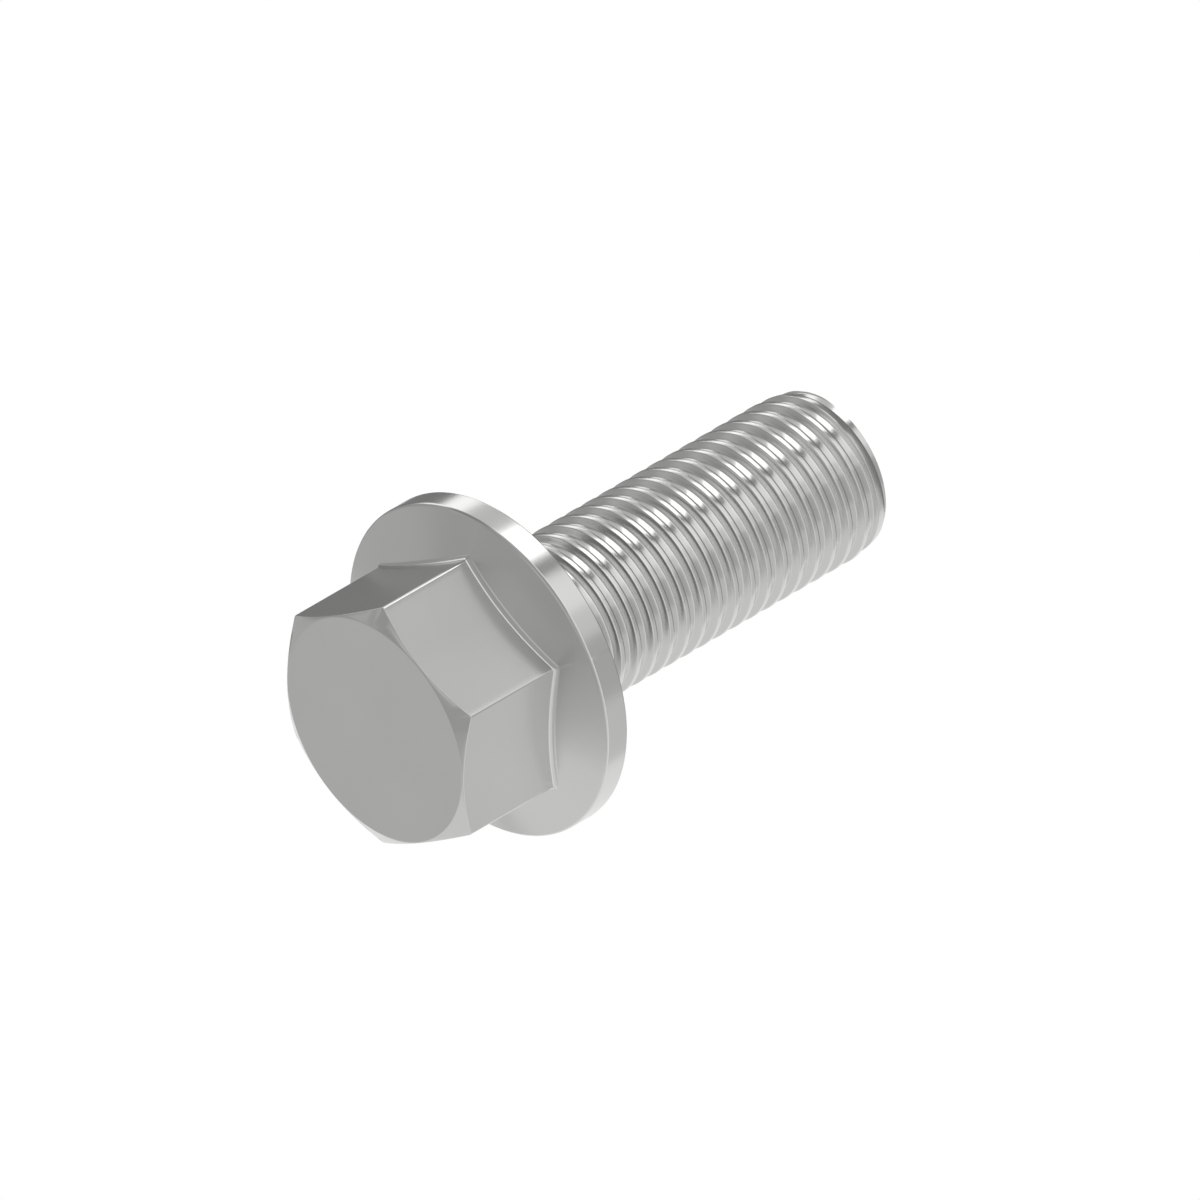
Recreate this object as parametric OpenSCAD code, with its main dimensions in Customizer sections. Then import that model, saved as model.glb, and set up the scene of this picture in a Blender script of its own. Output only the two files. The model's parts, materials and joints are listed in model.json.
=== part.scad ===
// Hexagon flange screw, standing on the flat top of its head with the thread upwards

/* [Thread] */
// Major diameter of the thread
thread_d = 15.9; // [14:0.05:18]
// Pitch of the thread
pitch = 2; // [1.5:0.25:2.5]
// Included angle between the two flanks of the groove
flank_angle = 60; // [50:1:70]
// Width of the flat on the crest
crest_flat = 0.56; // [0.2:0.02:0.6]
// Width of the flat in the root
root_flat = 0.74; // [0.2:0.02:0.8]
// Length from the bearing face to the tip
shank_len = 40.4; // [20:0.1:70]
// Turns over which the groove runs out towards the neck
runout_turns = 0.75; // [0.25:0.25:1.5]

/* [Point] */
// Drop in diameter over the tapered point
point_drop = 0.85; // [0.2:0.05:1.3]
// Length of the tapered point
point_len = 2.4; // [1:0.1:4]
// Bevel around the tip
tip_bevel = 0.1; // [0.1:0.05:0.8]

/* [Neck] */
// How far the neck's surface stands out from the thread's crests
neck_step = 0.05; // [0.05:0.05:1]
// Length of the plain neck from the bearing face
neck_len = 4; // [2:0.1:10]
// Fillet between the neck and the bearing face
neck_fillet = 0.6; // [0.2:0.1:1.5]

/* [Hexagon] */
// Width across the flats
across_flats = 21.75; // [20:0.05:24]
// Height from the top of the head to the bearing face
head_h = 15.25; // [12:0.05:18]
// Diameter of the flat top face
top_d = 21.5; // [17:0.1:21.7]
// Slope of the chamfer around the top face
chamfer_angle = 30; // [15:1:45]
// Rounding along the upright edges
corner_r = 0.3; // [0.1:0.05:1]

/* [Flange] */
// Diameter of the flange
flange_d = 31.85; // [29:0.05:36]
// Height of the upright rim
rim_h = 2.5; // [1.2:0.1:4]
// Slope of the flange's upper face
flange_slope = 20; // [10:1:28]
// Rounding where the slope meets the rim
rim_r = 0.35; // [0.1:0.05:0.8]
// Rounding where the rim meets the bearing face
seat_r = 0.15; // [0.05:0.05:0.4]
// Fillet around the foot of the hexagon
foot_fillet = 0.6; // [0.2:0.05:1]

/* [Hidden] */
steel = [0.68, 0.68, 0.67];
// How far a hidden end runs into the solid that holds it
bury = 0.8;
// How far a fillet's edge dips under the surface that it blends into
dip = 0.015;
// Segments in the arcs of the outlines
arc_steps = 5;
// Segments of the thread to a turn
turn_steps = 36;
// Turns of the thread that begin inside the neck
buried_turns = 1;
// Least depth of the groove, where it begins and where the point is slimmer than its root
trace = 0.02;
// Columns of the foot fillet along each flat
flat_steps = 8;
thread_r = thread_d / 2;
neck_r = thread_r + neck_step;
flange_r = flange_d / 2;
tip_z = head_h + shank_len;
rim_z = head_h - rim_h;
flank_slope = tan(flank_angle / 2);
thread_depth = (pitch - crest_flat - root_flat) / 2 / flank_slope;

function arc(c, r, from, to) = [
    for (i = [0:arc_steps])
        let (a = from + (to - from) * i / arc_steps)
        [c.x + r * cos(a), c.y + r * sin(a)]
];

// Height of the flange's sloped face at a distance from the axis
function slope_z(r) = rim_z - (flange_r - r) * tan(flange_slope);

// Outline of everything that is turned: the flange's slope and rim, the bearing face and the neck
function turned_outline() =
    let (rim_c = [flange_r - rim_r, rim_z + rim_r * (1 - sin(flange_slope)) / cos(flange_slope)])
    let (seat_c = [flange_r - seat_r, head_h - seat_r])
    let (neck_c = [neck_r + neck_fillet, head_h + neck_fillet])
    concat(
        [[0, slope_z(0)]],
        arc(rim_c, rim_r, flange_slope - 90, 0),
        arc(seat_c, seat_r, 0, 90),
        arc(neck_c, neck_fillet, 270, 180),
        [[neck_r, head_h + neck_len], [0, head_h + neck_len]]
    );

// The hexagon's section, with a corner on +X and its six corners rounded
function hexagon_outline() =
    let (c = (across_flats / 2 - corner_r) / cos(30))
    [
        for (side = [0:5])
            each arc([c * cos(60 * side), c * sin(60 * side)], corner_r, 60 * side - 30, 60 * side + 30)
    ];

// The hexagon under a cone that trims its corners around the top face
module hexagon() {
    wide = across_flats;
    rise = (wide - top_d / 2) * tan(chamfer_angle);
    intersection() {
        linear_extrude(height = rim_z)
            polygon(hexagon_outline());
        rotate_extrude()
            polygon([[0, 0], [top_d / 2, 0], [wide, rise], [wide, head_h + wide], [0, head_h + wide]]);
    }
}

// Section of the foot fillet: distance out from the flat, and height above the flange's slope
function fillet_section() =
    let (f = foot_fillet)
    let (lift = f * tan(flange_slope) - f / cos(flange_slope))
    let (curve = [
        for (i = [0:arc_steps])
            let (a = 180 - (90 - flange_slope) * i / arc_steps)
            let (out = f + f * cos(a))
            [out - dip, out * tan(flange_slope) - lift - f * sin(a) - dip]
    ])
    concat(curve, [[curve[arc_steps].x, -bury], [-bury, -bury], [-bury, curve[0].y]]);

// Ring that follows the bowed line where the hexagon meets the flange
module foot_ring() {
    section = fillet_section();
    rows = len(section);
    cols = 6 * flat_steps;
    points = [
        for (j = [0:cols - 1])
            let (a = 360 * j / cols)
            for (s = section)
                let (r = (across_flats / 2 + s.x) / cos(a % 60 - 30))
                [r * cos(a), r * sin(a), slope_z(r) - s.y]
    ];
    faces = [
        for (j = [0:cols - 1])
            let (k = (j + 1) % cols)
            for (i = [0:rows - 1])
                let (n = (i + 1) % rows)
                each [
                    [j * rows + i, j * rows + n, k * rows + n],
                    [j * rows + i, k * rows + n, k * rows + i]
                ]
    ];
    polyhedron(points, faces);
}

// Radius of the crest at a height, which narrows over the point
function crest_r(z) =
    thread_r - point_drop / 2 * max(0, z - (tip_z - point_len)) / point_len;

// Half width of the groove where its flank meets the crest: side is 1 towards the tip, -1 towards the head
function half_top(mid, depth, side) =
    let (full = root_flat / 2 + depth * flank_slope)
    let (near = full - flank_slope * (thread_r - crest_r(mid + side * full)))
    max(root_flat / 2, full - flank_slope * (thread_r - crest_r(mid + side * near)));

// Four points of the groove at one step of the helix, from crest to root and back to crest
function groove(step, foot) =
    let (a = 360 * step / turn_steps)
    let (mid = foot + pitch * step / turn_steps)
    let (along = (mid - head_h - neck_len) / pitch / runout_turns)
    let (depth = max(trace, thread_depth * min(1, along)))
    let (root_r = min(thread_r - depth, crest_r(mid) - trace))
    let (low = -half_top(mid, depth, -1))
    let (high = half_top(mid, depth, 1))
    [
        for (p = [[crest_r(mid + low), low], [root_r, -root_flat / 2],
                  [root_r, root_flat / 2], [crest_r(mid + high), high]])
            [p.x * cos(a), p.x * sin(a), mid + p.y]
    ];

// Threaded rod, a single-start right-hand helix that begins inside the neck and runs past the tip
module rod() {
    foot = head_h + neck_len - buried_turns * pitch;
    turns = ceil((tip_z - foot) / pitch) + 1;
    last = turns * turn_steps;
    points = concat(
        [for (i = [0:last + turn_steps]) each groove(i, foot)],
        [[0, 0, foot], [0, 0, foot + (turns + 1) * pitch]]
    );
    low = len(points) - 2;
    high = len(points) - 1;
    wall = [
        for (i = [0:last - 1])
            let (q = 4 * i)
            let (up = 4 * (i + turn_steps))
            each [
                [q, q + 4, q + 5], [q, q + 5, q + 1],
                [q + 1, q + 5, q + 6], [q + 1, q + 6, q + 2],
                [q + 2, q + 6, q + 7], [q + 2, q + 7, q + 3],
                [q + 3, q + 7, up + 4], [q + 3, up + 4, up]
            ]
    ];
    floor_fan = [for (i = [0:turn_steps - 1]) [low, 4 * i + 4, 4 * i]];
    roof_fan = [for (i = [last:last + turn_steps - 1]) [high, 4 * i, 4 * i + 4]];
    floor_step = [for (p = [[0, 1], [1, 2], [2, 3], [3, 4 * turn_steps]]) [low, p[0], p[1]]];
    roof_step = [
        for (p = [[0, 1], [1, 2], [2, 3], [3, 4 * turn_steps]])
            [high, 4 * last + p[1], 4 * last + p[0]]
    ];
    polyhedron(points, [for (f = concat(wall, floor_fan, roof_fan, floor_step, roof_step)) [f[2], f[1], f[0]]]);
}

// Space that the rod may fill, with the tip bevelled at 45 degrees
module point_space() {
    tip_r = thread_r - point_drop / 2 - tip_bevel;
    wide = thread_d;
    rotate_extrude()
        polygon([[0, head_h], [wide, head_h], [wide, tip_z - (wide - tip_r)], [tip_r, tip_z], [0, tip_z]]);
}

module flange_screw() {
    color(steel)
        union() {
            hexagon();
            rotate_extrude()
                polygon(turned_outline());
            foot_ring();
            intersection() {
                rod();
                point_space();
            }
        }
}

flange_screw();
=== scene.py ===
import json
import math

import bmesh
import bpy
from mathutils import Matrix, Vector


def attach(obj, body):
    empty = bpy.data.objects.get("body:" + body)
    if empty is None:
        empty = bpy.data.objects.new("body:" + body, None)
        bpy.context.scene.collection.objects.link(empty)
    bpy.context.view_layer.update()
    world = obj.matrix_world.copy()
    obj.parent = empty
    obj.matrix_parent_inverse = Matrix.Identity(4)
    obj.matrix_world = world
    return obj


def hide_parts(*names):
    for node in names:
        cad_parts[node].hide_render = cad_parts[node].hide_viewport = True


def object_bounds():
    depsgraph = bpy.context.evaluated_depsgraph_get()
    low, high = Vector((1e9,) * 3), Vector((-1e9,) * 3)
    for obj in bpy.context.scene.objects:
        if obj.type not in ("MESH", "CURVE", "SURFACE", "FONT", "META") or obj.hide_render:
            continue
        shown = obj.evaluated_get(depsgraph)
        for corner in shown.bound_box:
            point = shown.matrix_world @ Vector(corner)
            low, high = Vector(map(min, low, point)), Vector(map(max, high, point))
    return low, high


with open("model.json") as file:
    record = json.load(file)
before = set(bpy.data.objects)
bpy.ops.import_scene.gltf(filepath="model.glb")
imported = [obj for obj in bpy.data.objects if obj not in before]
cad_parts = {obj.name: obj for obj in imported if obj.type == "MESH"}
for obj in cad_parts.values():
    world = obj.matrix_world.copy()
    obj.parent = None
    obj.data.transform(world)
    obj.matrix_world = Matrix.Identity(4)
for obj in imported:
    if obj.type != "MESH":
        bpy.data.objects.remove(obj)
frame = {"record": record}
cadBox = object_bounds()
boxLow, boxHigh = cadBox
mounts = {mount["name"]: mount for mount in frame["record"]["mounts"]}
mm = 0.001
print("frame loaded")

# The screw in millimetres: the main sizes come from the frame, the small shapes are set here
screw = {
    "flangeRadius": min(boxHigh.x - boxLow.x, boxHigh.y - boxLow.y) / 2 / mm,
    "tipHeight": boxHigh.z / mm,
    "seatHeight": mounts["seat"]["pos_m"][2] / mm,
    "flatDistance": mounts["spanner_flat_a"]["pos_m"][1] / mm,  # from the axis to each flat
    "neckRadius": mounts["neck"]["dims"]["r_mm"],
    "neckTop": mounts["thread"]["pos_m"][2] / mm,
    "crestRadius": mounts["thread"]["dims"]["r_mm"],
    "topRadius": 10.75,  # of the flat circle on top of the head
    "chamferAngle": 30,
    "flatColumns": 26,  # cuts in each flat, which its bowed edges need
    "rimHeight": 2.5,
    "slopeAngle": 20,
    "creaseAngle": 35,  # past which an edge stays sharp
    "levelNormal": 0.99999,  # upright part of a normal past which a face is level
}

# Radius in millimetres and number of steps of each rounding on the head
headRoundings = {
    "corner": (0.3, 5),  # upright edges of the hexagon
    "edge": (0.06, 2),  # around the top circle and along the chamfer, set back as a square edge would be
    "foot": (0.6, 8),  # where the hexagon meets the flange
    "rim": (0.35, 6),
    "seat": (0.15, 4),
    "neck": (0.6, 6),
}

# The thread in millimetres, cut from the neck's top to the tip
thread = {
    "pitch": 2.0,
    "crestFlat": 0.56,
    "rootFlat": 0.74,
    "flankAngle": 30,  # between a flank and a plane across the axis
    "tipSideRounding": 0.14,  # of a crest
    "headSideRounding": 0.05,
    "rootRounding": 0.05,
    "roundingSteps": 3,
    "flankCuts": 2,
    "turnSteps": 96,
    "runoutTurns": 0.75,  # over which the groove comes up to the neck
    "leastDepth": 0.02,
    "pointLength": 2.4,
    "pointDrop": 0.425,  # off the crest's radius over the point
    "tipBevel": 0.1,
    "weldDistance": 0.001,
    "cutTolerance": 0.0001,
}

steelLook = {
    "colour": (0.66, 0.66, 0.65),
    "shade": 0.97,  # the darker of the two tones that drift over the surface
    "driftSize": 7.0,  # millimetres
    "driftDetail": 0.5,
    "driftRange": (0.2, 0.8),  # of the noise, between its two tones
    "roughness": (0.19, 0.22),
    "grainSize": 0.16,  # millimetres
    "grainDetail": 2.0,
    "grainHeight": 0.0008,  # millimetres
}


# Extrudes a ring of edges and puts each new vertex where place says
def growRing(bm, ring, place):
    grown = bmesh.ops.extrude_edge_only(bm, edges=ring)["geom"]
    verts = {part for part in grown if isinstance(part, bmesh.types.BMVert)}
    for vert in verts:
        vert.co = place(vert.co)
    return [part for part in grown if isinstance(part, bmesh.types.BMEdge) and set(part.verts) <= verts]


# Rounds a closed ring of edges, where its two faces meet at an angle in degrees
def roundRing(bm, ring, rounding, angle):
    radius, steps = headRoundings[rounding]
    offset = radius / math.tan(math.radians(angle / 2))
    bmesh.ops.bevel(bm, geom=ring, offset=offset, segments=steps, profile=0.5, affect="EDGES",
                    loop_slide=True, clamp_overlap=False, material=-1)


def onCircle(co, radius, height):
    reach = radius / co.xy.length
    return Vector((co.x * reach, co.y * reach, height))


def slopeHeight(radius):
    foot = screw["seatHeight"] - screw["rimHeight"]
    return foot - (screw["flangeRadius"] - radius) * math.tan(math.radians(screw["slopeAngle"]))


def chamferHeight(radius):
    return max(0, radius - screw["topRadius"]) * math.tan(math.radians(screw["chamferAngle"]))


# The hexagon's outline with rounded corners, standing on the cone that chamfers it
def hexagonOutline(bm):
    halfTurn = math.radians(30)  # from a corner of the hexagon to the middle of a flat
    cornerRadius = screw["flatDistance"] / math.cos(halfTurn)
    turned = Matrix.Rotation(halfTurn, 4, "Z")
    outline = bmesh.ops.create_circle(bm, segments=6, radius=cornerRadius, matrix=turned)
    rounding, steps = headRoundings["corner"]
    bmesh.ops.bevel(bm, geom=outline["verts"], offset=rounding * math.tan(halfTurn), segments=steps,
                    profile=0.5, affect="VERTICES", material=-1)
    flats = [edge for edge in bm.edges if edge.calc_length() > screw["flatDistance"] / 2]
    bmesh.ops.subdivide_edges(bm, edges=flats, cuts=screw["flatColumns"])
    for vert in bm.verts:
        vert.co.z = chamferHeight(vert.co.xy.length)
    return bm.edges[:]


# Head, flange and neck as one skin: rings are grown from the hexagon's outline, then rounded
def buildHead(bm):
    rim = screw["flangeRadius"]
    neck = screw["neckRadius"]
    seat = screw["seatHeight"]
    chamfer = hexagonOutline(bm)
    topEdge = growRing(bm, chamfer, lambda co: onCircle(co, screw["topRadius"], 0))
    foot = growRing(bm, chamfer, lambda co: Vector((co.x, co.y, slopeHeight(co.xy.length))))
    rimFront = growRing(bm, foot, lambda co: onCircle(co, rim, slopeHeight(rim)))
    rimBack = growRing(bm, rimFront, lambda co: onCircle(co, rim, seat))
    neckFoot = growRing(bm, rimBack, lambda co: onCircle(co, neck, seat))
    growRing(bm, neckFoot, lambda co: onCircle(co, neck, screw["neckTop"]))
    bmesh.ops.contextual_create(bm, geom=topEdge)
    bmesh.ops.recalc_face_normals(bm, faces=bm.faces)
    squareAngle = 90
    openAngle = squareAngle + screw["slopeAngle"]
    roundRing(bm, topEdge, "edge", squareAngle)
    roundRing(bm, chamfer, "edge", squareAngle)
    roundRing(bm, foot, "foot", openAngle)
    roundRing(bm, rimFront, "rim", openAngle)
    roundRing(bm, rimBack, "seat", squareAngle)
    roundRing(bm, neckFoot, "neck", squareAngle)


# Half widths of the groove in its root and at its top, and its depth
def grooveShape():
    halfRoot = thread["rootFlat"] / 2
    halfTop = (thread["pitch"] - thread["crestFlat"]) / 2
    return halfRoot, halfTop, (halfTop - halfRoot) / math.tan(math.radians(thread["flankAngle"]))


def crestAt(height):
    over = max(0, height - screw["tipHeight"] + thread["pointLength"])
    return screw["crestRadius"] - thread["pointDrop"] * over / thread["pointLength"]


# Half width of a groove where its flank meets the crest: side is 1 towards the tip, -1 towards the head
def halfAtCrest(full, middle, side):
    halfRoot = thread["rootFlat"] / 2
    slope = math.tan(math.radians(thread["flankAngle"]))
    near = full - slope * (screw["crestRadius"] - crestAt(middle + side * full))
    return max(halfRoot, full - slope * (screw["crestRadius"] - crestAt(middle + side * near)))


# Where a point of the full, even thread lies once the groove runs out at the neck and the point tapers
def shapedThread(co):
    halfRoot, halfTop, depth = grooveShape()
    pitch = thread["pitch"]
    turn = math.atan2(co.y, co.x) / math.tau
    along = (co.z - screw["neckTop"]) / pitch - turn
    middle = (round(along) + turn) * pitch + screw["neckTop"]  # height of the nearest groove
    aside = abs(co.z - middle)
    side = math.copysign(1, co.z - middle)
    share = min(1, (middle - screw["neckTop"]) / pitch / thread["runoutTurns"])
    share = max(thread["leastDepth"] / depth, share)
    narrow = halfAtCrest(halfRoot + (halfTop - halfRoot) * share, middle, side)
    if aside > halfTop:
        away = narrow + (aside - halfTop) * (pitch / 2 - narrow) / (pitch / 2 - halfTop)
    elif aside > halfRoot:
        away = halfRoot + (aside - halfRoot) * (narrow - halfRoot) / (halfTop - halfRoot)
    else:
        away = aside
    height = middle + side * away
    root = min(screw["crestRadius"] - depth * share, crestAt(middle) - thread["leastDepth"])
    rise = (co.xy.length - screw["crestRadius"] + depth) / depth
    return onCircle(co, root + (crestAt(height) - root) * rise, height)


# One pitch of the thread's section as edges, with its corners rounded and its flanks cut up
def threadProfile(bm, start):
    halfRoot, halfTop, depth = grooveShape()
    halfPitch = thread["pitch"] / 2
    crest = screw["crestRadius"]
    root = crest - depth
    profile = ((crest, -halfPitch), (crest, -halfTop), (root, -halfRoot),
               (root, halfRoot), (crest, halfTop), (crest, halfPitch))
    verts = [bm.verts.new((radius, 0, start + height)) for radius, height in profile]
    for pair in zip(verts, verts[1:]):
        bm.edges.new(pair)
    rounded = {"tipSideRounding": verts[1:2], "rootRounding": verts[2:4], "headSideRounding": verts[4:5]}
    for rounding, corners in rounded.items():
        bmesh.ops.bevel(bm, geom=corners, offset=thread[rounding], segments=thread["roundingSteps"],
                        profile=0.5, affect="VERTICES", material=-1)
    flanks = [edge for edge in bm.edges if abs(edge.verts[0].co.x - edge.verts[1].co.x) > depth / 2]
    bmesh.ops.subdivide_edges(bm, edges=flanks, cuts=thread["flankCuts"])


# The rod's skin: the profile is spun round and up by one pitch, then copied turn by turn
def buildThread(bm):
    pitch = thread["pitch"]
    steps = thread["turnSteps"]
    start = screw["neckTop"] - pitch
    threadProfile(bm, start)
    bmesh.ops.spin(bm, geom=bm.verts[:] + bm.edges[:], cent=(0, 0, 0), axis=(0, 0, 1), angle=math.tau,
                   steps=steps, dvec=(0, 0, pitch / steps), use_merge=False)
    oneTurn = bm.verts[:] + bm.edges[:] + bm.faces[:]
    turns = math.ceil((screw["tipHeight"] - start) / pitch) + 2
    for turn in range(1, turns):
        copied = bmesh.ops.duplicate(bm, geom=oneTurn)["geom"]
        moved = [part for part in copied if isinstance(part, bmesh.types.BMVert)]
        bmesh.ops.translate(bm, verts=moved, vec=(0, 0, pitch * turn))
    bmesh.ops.remove_doubles(bm, verts=bm.verts, dist=thread["weldDistance"])
    for vert in bm.verts:
        vert.co = shapedThread(vert.co)
    cutThread(bm)


def cutLevel(bm, height, **cleared):
    everything = bm.verts[:] + bm.edges[:] + bm.faces[:]
    bmesh.ops.bisect_plane(bm, geom=everything, dist=thread["cutTolerance"], plane_co=(0, 0, height),
                           plane_no=(0, 0, 1), **cleared)


# Cuts the rod off at the neck and the tip, and bevels the tip at 45 degrees
def cutThread(bm):
    tip = screw["tipHeight"]
    bevel = thread["tipBevel"]
    cutLevel(bm, screw["neckTop"], clear_inner=True)
    cutLevel(bm, tip, clear_outer=True)
    cutLevel(bm, tip - bevel / 2)
    cutLevel(bm, tip - bevel)
    tipRadius = crestAt(tip) - bevel
    for vert in bm.verts:
        limit = tipRadius + tip - vert.co.z
        if vert.co.xy.length > limit:
            vert.co = onCircle(vert.co, limit, vert.co.z)
    tipEdge = [edge for edge in bm.edges if edge.is_boundary and edge.verts[0].co.z > tip - bevel]
    bmesh.ops.contextual_create(bm, geom=tipEdge)


# Smooth over the rounded parts, while level faces keep one even reflection
def shadeScrew(bm):
    for face in bm.faces:
        face.smooth = abs(face.normal.z) < screw["levelNormal"]
    for edge in bm.edges:
        edge.smooth = edge.calc_face_angle(0) < math.radians(screw["creaseAngle"])


def buildScrew():
    bm = bmesh.new()
    buildThread(bm)
    print("thread spun", len(bm.faces), "faces")
    head = bmesh.new()
    buildHead(head)
    print("head grown", len(head.faces), "faces")
    headMesh = bpy.data.meshes.new("head")
    head.to_mesh(headMesh)
    head.free()
    bm.from_mesh(headMesh)
    bpy.data.meshes.remove(headMesh)
    bmesh.ops.bridge_loops(bm, edges=[edge for edge in bm.edges if edge.is_boundary])
    bmesh.ops.recalc_face_normals(bm, faces=bm.faces)
    shadeScrew(bm)
    bmesh.ops.scale(bm, vec=(mm, mm, mm), verts=bm.verts)
    mesh = bpy.data.meshes.new("flangeScrew")
    bm.to_mesh(mesh)
    bm.free()
    piece = bpy.data.objects.new("flangeScrew", mesh)
    bpy.context.scene.collection.objects.link(piece)
    return piece


def newNode(tree, kind, **values):
    node = tree.nodes.new(kind)
    for name, value in values.items():
        if name in node.bl_rna.properties:
            setattr(node, name, value)
        else:
            node.inputs[name].default_value = value
    return node


# Satin steel: two near tones and a drifting gloss, under a grain that is too fine to see singly
def satinSteel():
    material = bpy.data.materials.new("satinSteel")
    material.use_nodes = True
    tree = material.node_tree
    shader = tree.nodes["Principled BSDF"]
    shader.inputs["Metallic"].default_value = 1.0
    place = newNode(tree, "ShaderNodeTexCoord")
    drift = newNode(tree, "ShaderNodeTexNoise", Scale=1 / (steelLook["driftSize"] * mm),
                    Detail=steelLook["driftDetail"])
    grain = newNode(tree, "ShaderNodeTexNoise", Scale=1 / (steelLook["grainSize"] * mm),
                    Detail=steelLook["grainDetail"])
    tree.links.new(place.outputs["Object"], drift.inputs["Vector"])
    tree.links.new(place.outputs["Object"], grain.inputs["Vector"])
    low, high = steelLook["driftRange"]
    darkTone = [tone * steelLook["shade"] for tone in steelLook["colour"]]
    tones = newNode(tree, "ShaderNodeValToRGB")
    tones.color_ramp.elements[0].position = low
    tones.color_ramp.elements[1].position = high
    tones.color_ramp.elements[0].color = [*darkTone, 1]
    tones.color_ramp.elements[1].color = [*steelLook["colour"], 1]
    tree.links.new(drift.outputs["Fac"], tones.inputs["Fac"])
    tree.links.new(tones.outputs["Color"], shader.inputs["Base Color"])
    gloss = newNode(tree, "ShaderNodeMapRange")
    gloss.inputs["From Min"].default_value = low
    gloss.inputs["From Max"].default_value = high
    gloss.inputs["To Min"].default_value, gloss.inputs["To Max"].default_value = steelLook["roughness"]
    tree.links.new(drift.outputs["Fac"], gloss.inputs["Value"])
    tree.links.new(gloss.outputs["Result"], shader.inputs["Roughness"])
    bump = newNode(tree, "ShaderNodeBump", Distance=steelLook["grainHeight"] * mm, Strength=1.0)
    tree.links.new(grain.outputs["Fac"], bump.inputs["Height"])
    tree.links.new(bump.outputs["Normal"], shader.inputs["Normal"])
    return material


flangeScrew = buildScrew()
flangeScrew.data.materials.append(satinSteel())
weighted = flangeScrew.modifiers.new("weightedNormals", "WEIGHTED_NORMAL")
weighted.keep_sharp = True
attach(flangeScrew, "root")
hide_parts("flange_screw")
print("screw built", len(flangeScrew.data.polygons), "faces")

# A round tent of one metre's radius that shows in the screw's steel only. Its sectors follow one another
# from the first azimuth on, each up to its own in degrees, and the last one closes the circle. A sector's
# bands are given by their top in metres and their brightness, where 1 is white
firstAzimuth = -124
tent = {
    "darkFlag": {"to": -100, "bands": ((-1.2, 0.45), (0.15, 0.53), (1.3, 0.22))},
    "darkEdge": {"to": -86, "bands": ((-1.2, 0.45), (0.15, 0.4), (1.3, 0.22))},
    "softEdge": {"to": -78, "bands": ((-0.7, 0.58), (0.15, 0.4), (1.3, 0.22))},
    "leftStrip": {"to": -58, "bands": ((-1.05, 0.4), (-0.7, 0.55), (0.0, 0.45), (1.3, 1.5))},
    "leftWall": {"to": -26, "bands": ((-0.4, 0.4), (0.35, 0.28), (0.95, 0.68), (1.3, 0.3))},
    "keyBox": {"to": 2, "bands": ((-0.4, 0.42), (0.2, 0.6), (0.48, 1.4), (0.95, 2.3), (1.3, 0.2))},
    "thinFlag": {"to": 15, "bands": ((-0.4, 0.42), (0.2, 0.46), (0.48, 1.4), (1.3, 0.2))},
    "rightStrip": {"to": 43, "bands": ((-0.4, 0.45), (0.2, 0.46), (0.48, 1.5), (1.3, 1.05))},
    "rightWall": {"to": 62, "bands": ((-0.4, 0.45), (0.2, 0.75), (0.48, 1.3), (1.3, 0.78))},
    "greyFlag": {"to": 104, "bands": ((-0.4, 0.5), (0.2, 0.75), (0.48, 1.25), (1.3, 0.5))},
    "backWall": {"to": 150, "bands": ((-0.4, 0.6), (0.2, 0.85), (0.48, 1.1), (1.3, 0.69))},
    "backSheet": {"to": 208, "bands": ((-1.15, 0.66), (-0.1, 0.82), (1.3, 0.97))},
    "cornerSheet": {"to": 236, "bands": ((-0.1, 0.58), (1.3, 0.97))},
}

# The tent's level sheets in metres, with the brightness at shares of their width along X
tentLevels = {
    "tentFloor": {"centre": (0, 0, -1.5), "size": (2, 2),
                  "brightness": ((0, 0.6), (0.38, 0.42), (0.5, 0.45), (0.6, 0.45), (0.68, 0.68), (1, 0.68))},
    "tentMat": {"centre": (0.41, -0.72, -1.49), "size": (0.42, 0.54), "brightness": ((0, 0.38), (1, 0.38))},
    "tentRoof": {"centre": (0, 0, 1.3), "size": (2, 2), "brightness": ((0, 0.24), (1, 0.24))},
}


def emission(name, strength):
    material = bpy.data.materials.new(name)
    material.use_nodes = True
    tree = material.node_tree
    tree.nodes.clear()
    glow = newNode(tree, "ShaderNodeEmission", Strength=strength)
    out = newNode(tree, "ShaderNodeOutputMaterial")
    tree.links.new(glow.outputs["Emission"], out.inputs["Surface"])
    return material


# Hands the bmesh over to a new object in the scene, which is not attached to the screw's body
def stagePiece(name, bm):
    mesh = bpy.data.meshes.new(name)
    bm.to_mesh(mesh)
    bm.free()
    piece = bpy.data.objects.new(name, mesh)
    bpy.context.scene.collection.objects.link(piece)
    return piece


# A flat sheet one metre square, which its matrix then scales
def stageSheet(name, matrix):
    bm = bmesh.new()
    bmesh.ops.create_grid(bm, x_segments=1, y_segments=1, size=0.5)
    sheet = stagePiece(name, bm)
    sheet.matrix_world = matrix
    return sheet


# Seen in the steel alone, so it neither hides the view nor darkens the floor
def onlyReflected(sheet):
    sheet.visible_camera = False
    sheet.visible_diffuse = False
    sheet.visible_shadow = False
    sheet.visible_transmission = False


# One band of the tent's wall between two azimuths, spun about the screw's axis
def tentBand(name, azimuths, bottom, top, brightness):
    start, end = [math.radians(azimuth) for azimuth in azimuths]
    stepAngle = math.radians(5)
    bm = bmesh.new()
    post = [bm.verts.new((math.cos(start), math.sin(start), height)) for height in (bottom, top)]
    rail = bm.edges.new(post)
    bmesh.ops.spin(bm, geom=[*post, rail], cent=(0, 0, 0), axis=(0, 0, 1), angle=end - start,
                   steps=math.ceil((end - start) / stepAngle), use_merge=False)
    band = stagePiece(name, bm)
    band.data.materials.append(emission(name, brightness))
    onlyReflected(band)


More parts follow.
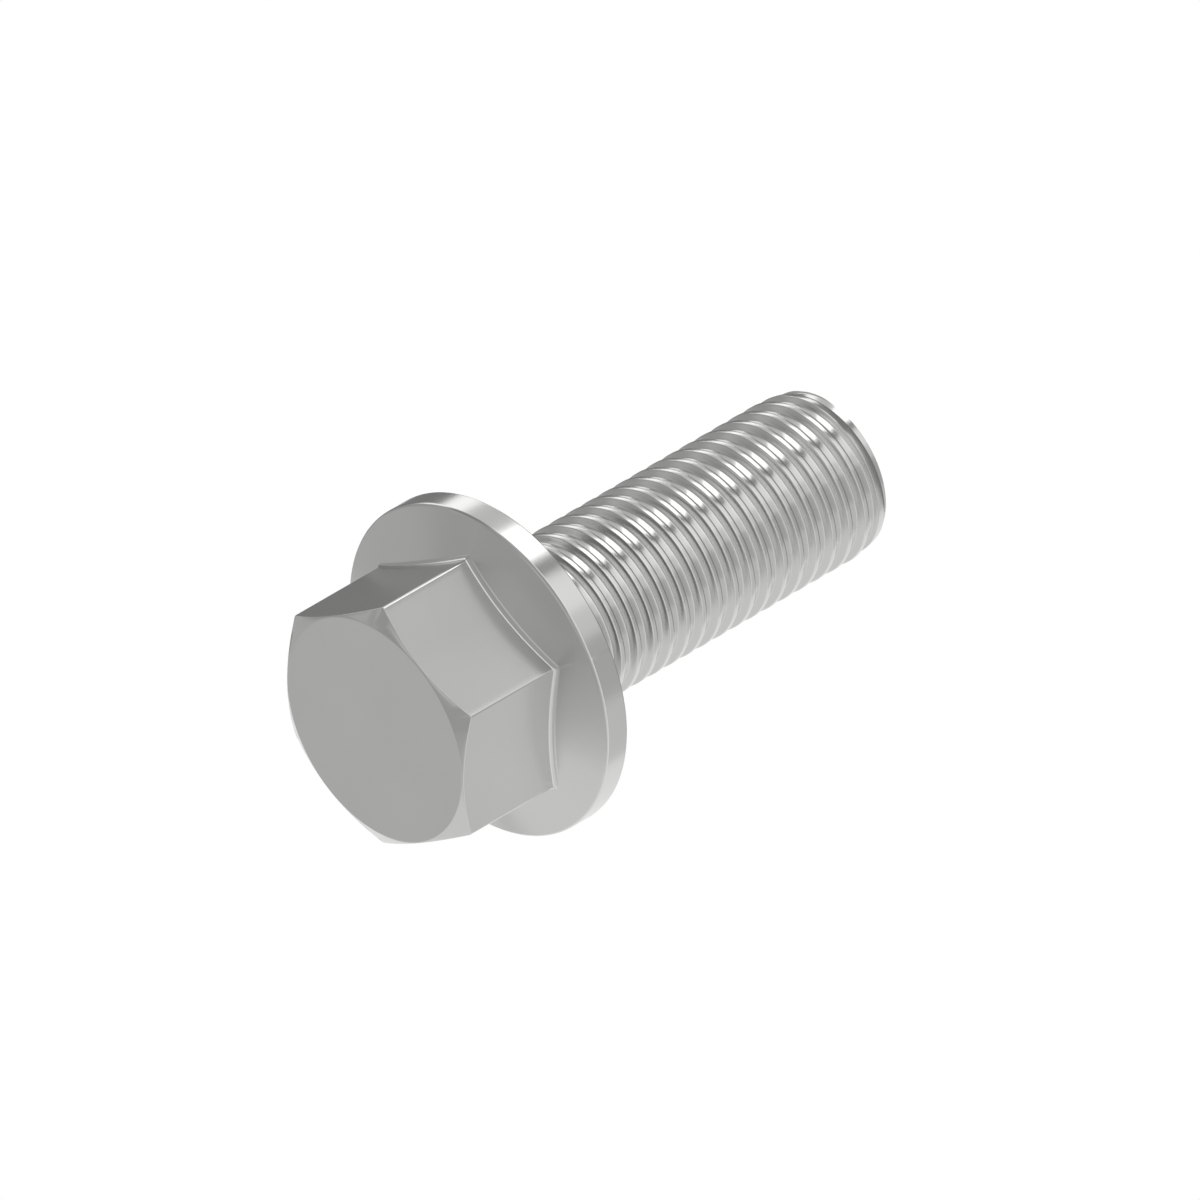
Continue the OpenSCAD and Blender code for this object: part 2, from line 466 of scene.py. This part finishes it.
def tentLevel(name, level):
    sheet = stageSheet(name, Matrix.Translation(level["centre"]) @ Matrix.Diagonal((*level["size"], 1, 1)))
    material = emission(name, 1)
    tree = material.node_tree
    place = newNode(tree, "ShaderNodeTexCoord")
    parts = newNode(tree, "ShaderNodeSeparateXYZ")
    along = newNode(tree, "ShaderNodeMath", operation="ADD")
    along.inputs[1].default_value = 0.5  # a sheet's own X runs from -0.5 to 0.5
    ramp = newNode(tree, "ShaderNodeValToRGB")
    while len(ramp.color_ramp.elements) < len(level["brightness"]):
        ramp.color_ramp.elements.new(0.5)
    for stop, (position, brightness) in zip(ramp.color_ramp.elements, level["brightness"]):
        stop.position = position
        stop.color = (brightness, brightness, brightness, 1)
    tree.links.new(place.outputs["Object"], parts.inputs["Vector"])
    tree.links.new(parts.outputs["X"], along.inputs[0])
    tree.links.new(along.outputs["Value"], ramp.inputs["Fac"])
    tree.links.new(ramp.outputs["Color"], tree.nodes["Emission"].inputs["Color"])
    sheet.data.materials.append(material)
    onlyReflected(sheet)


def pitchTent():
    start = firstAzimuth
    for name, sector in tent.items():
        bottom = tentLevels["tentFloor"]["centre"][2]
        for number, (top, brightness) in enumerate(sector["bands"]):
            tentBand(name + str(number), (start, sector["to"]), bottom, top, brightness)
            bottom = top
        start = sector["to"]
    for name, level in tentLevels.items():
        tentLevel(name, level)


pitchTent()

floorLook = {
    "radius": 0.16,  # metres, past which the floor has faded into the background
    "fadeFrom": 0.4,  # share of that radius where the fading starts
    "gap": 0.00003,  # metres under the head
    "tone": 0.9,
    "light": 0.8,  # strength of the world on it, where the background that the camera sees is 1
}


# Camera rays from below pass through the floor, because the photograph looks up at the head
def floorMaterial():
    material = bpy.data.materials.new("paleFloor")
    material.use_nodes = True
    tree = material.node_tree
    tree.nodes.clear()
    tone = floorLook["tone"]
    surface = newNode(tree, "ShaderNodeBsdfDiffuse", Color=(tone, tone, tone, 1))
    clear = newNode(tree, "ShaderNodeBsdfTransparent")
    side = newNode(tree, "ShaderNodeNewGeometry")
    place = newNode(tree, "ShaderNodeTexCoord")
    reach = newNode(tree, "ShaderNodeVectorMath", operation="LENGTH")
    fade = newNode(tree, "ShaderNodeMapRange", interpolation_type="SMOOTHSTEP")
    edge = 0.5  # half the width of a sheet in its own coordinates
    fade.inputs["From Min"].default_value = edge * floorLook["fadeFrom"]
    fade.inputs["From Max"].default_value = edge
    hide = newNode(tree, "ShaderNodeMath", operation="MAXIMUM")
    mix = newNode(tree, "ShaderNodeMixShader")
    out = newNode(tree, "ShaderNodeOutputMaterial")
    tree.links.new(place.outputs["Object"], reach.inputs[0])
    tree.links.new(reach.outputs["Value"], fade.inputs["Value"])
    tree.links.new(fade.outputs["Result"], hide.inputs[0])
    tree.links.new(side.outputs["Backfacing"], hide.inputs[1])
    tree.links.new(hide.outputs["Value"], mix.inputs["Fac"])
    tree.links.new(surface.outputs["BSDF"], mix.inputs[1])
    tree.links.new(clear.outputs["BSDF"], mix.inputs[2])
    tree.links.new(mix.outputs["Shader"], out.inputs["Surface"])
    return material


def layFloor():
    width = 2 * floorLook["radius"]
    place = Matrix.Translation((0, 0, -floorLook["gap"])) @ Matrix.Diagonal((width, width, 1, 1))
    floor = stageSheet("floor", place)
    floor.data.materials.append(floorMaterial())
    floor.visible_glossy = False
    floor.visible_diffuse = False
    floor.visible_shadow = False


layFloor()


# White to camera, glossy and transmission rays, and a softer light on the floor. The closed tent stands
# between this world and the steel, so the steel shows the tent's greys and not the white
def whiteWorld():
    world = bpy.data.worlds.new("whiteWorld")
    world.use_nodes = True
    bpy.context.scene.world = world
    tree = world.node_tree
    background = tree.nodes["Background"]
    background.inputs["Color"].default_value = (1, 1, 1, 1)
    rays = newNode(tree, "ShaderNodeLightPath")
    seen = newNode(tree, "ShaderNodeMath", operation="MAXIMUM")
    shown = newNode(tree, "ShaderNodeMath", operation="MAXIMUM")
    strength = newNode(tree, "ShaderNodeMapRange")
    strength.inputs["To Min"].default_value = floorLook["light"]
    tree.links.new(rays.outputs["Is Camera Ray"], seen.inputs[0])
    tree.links.new(rays.outputs["Is Glossy Ray"], seen.inputs[1])
    tree.links.new(seen.outputs["Value"], shown.inputs[0])
    tree.links.new(rays.outputs["Is Transmission Ray"], shown.inputs[1])
    tree.links.new(shown.outputs["Value"], strength.inputs["Value"])
    tree.links.new(strength.outputs["Result"], background.inputs["Strength"])


whiteWorld()

# The lamp that throws the soft shadow: angles in degrees, distance and size in metres, power in watts
lamp = {"azimuth": -13, "elevation": 50, "distance": 0.6, "size": 0.35, "power": 1.2}


def aroundScrew(azimuth, elevation, distance):
    turn, lift = math.radians(azimuth), math.radians(elevation)
    out = Vector((math.cos(turn) * math.cos(lift), math.sin(turn) * math.cos(lift), math.sin(lift)))
    return out * distance


def hangLamp():
    keyLamp = bpy.data.objects.new("keyLamp", bpy.data.lights.new("keyLamp", "AREA"))
    keyLamp.data.size = lamp["size"]
    keyLamp.data.energy = lamp["power"]
    keyLamp.location = aroundScrew(lamp["azimuth"], lamp["elevation"], lamp["distance"])
    keyLamp.rotation_euler = keyLamp.location.to_track_quat("Z", "Y").to_euler()
    keyLamp.visible_camera = False
    keyLamp.visible_glossy = False
    bpy.context.scene.collection.objects.link(keyLamp)


hangLamp()
print("stage and light set")

# The photograph is an exact isometric view from the head's side, without perspective
view = {
    "towards": Vector((1, 1, -1)),
    "up": Vector((2, -1, 1)),
    "centre": Vector((4.156, 4.181, 23.587)) * mm,
    "pixelsPerMm": 11.48,
    "imagePixels": 1200,
    "distance": 0.4,
}


def isometricCamera():
    data = bpy.data.cameras.new("isometricCamera")
    data.type = "ORTHO"
    data.ortho_scale = view["imagePixels"] / view["pixelsPerMm"] * mm
    camera = bpy.data.objects.new("isometricCamera", data)
    back = view["towards"].normalized()
    up = view["up"].normalized()
    axes = Matrix((up.cross(back), up, back)).transposed()
    camera.matrix_world = Matrix.Translation(view["centre"] + back * view["distance"]) @ axes.to_4x4()
    bpy.context.scene.collection.objects.link(camera)
    bpy.context.scene.camera = camera


isometricCamera()
bpy.context.scene.view_settings.view_transform = "Standard"
print("camera placed")
